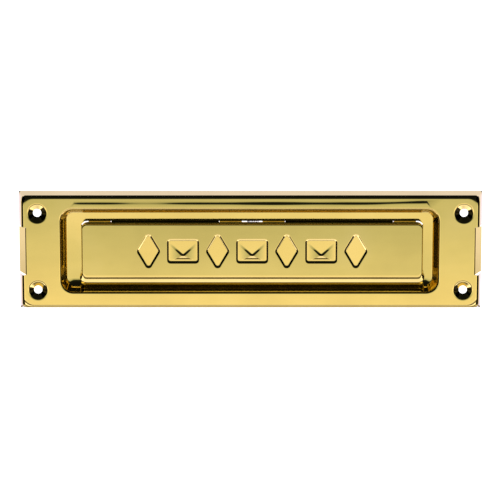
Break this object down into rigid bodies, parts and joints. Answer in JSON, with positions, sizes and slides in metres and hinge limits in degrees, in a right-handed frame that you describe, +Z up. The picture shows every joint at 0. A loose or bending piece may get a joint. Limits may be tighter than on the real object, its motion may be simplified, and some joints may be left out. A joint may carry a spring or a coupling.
{
  "type": "letter plate",
  "caption": "Pressed brass letter plate with a turned-back rim, a sunken field and an inward-opening sprung flap with sunken ornaments.",
  "frame": {"origin": "middle of the plate's outline, on the plane where the rim rests on the wall; it is also within half a millimetre of the middle of the bounding box", "axes": "+X along the plate, +Y into the wall, so the face the street sees is at -Y, +Z up"},
  "size_m": [0.25, 0.0114, 0.0654],
  "materials": {
    "plate_brass": "polished and lacquered pressed sheet",
    "flap_brass": "polished and lacquered pressed sheet",
    "pin_steel": "bright drawn wire",
    "spring_steel": "drawn spring wire, oiled"
  },
  "bodies": {
    "plate": {"face_plate": "plate_brass", "hinge_pin": "pin_steel", "closing_spring": "spring_steel"},
    "flap": {"flap": "flap_brass"}
  },
  "joints": [
    {"name": "flap_hinge", "type": "hinge", "parent": "plate", "child": "flap", "pos_m": [0.0009, 0.0035, 0.01642], "axis": [1, 0, 0], "range_deg": [0, 80], "stiffness_Nm_per_rad": 0.006, "springref_deg": -85.94, "deforming": ["closing_spring"]}
  ]
}
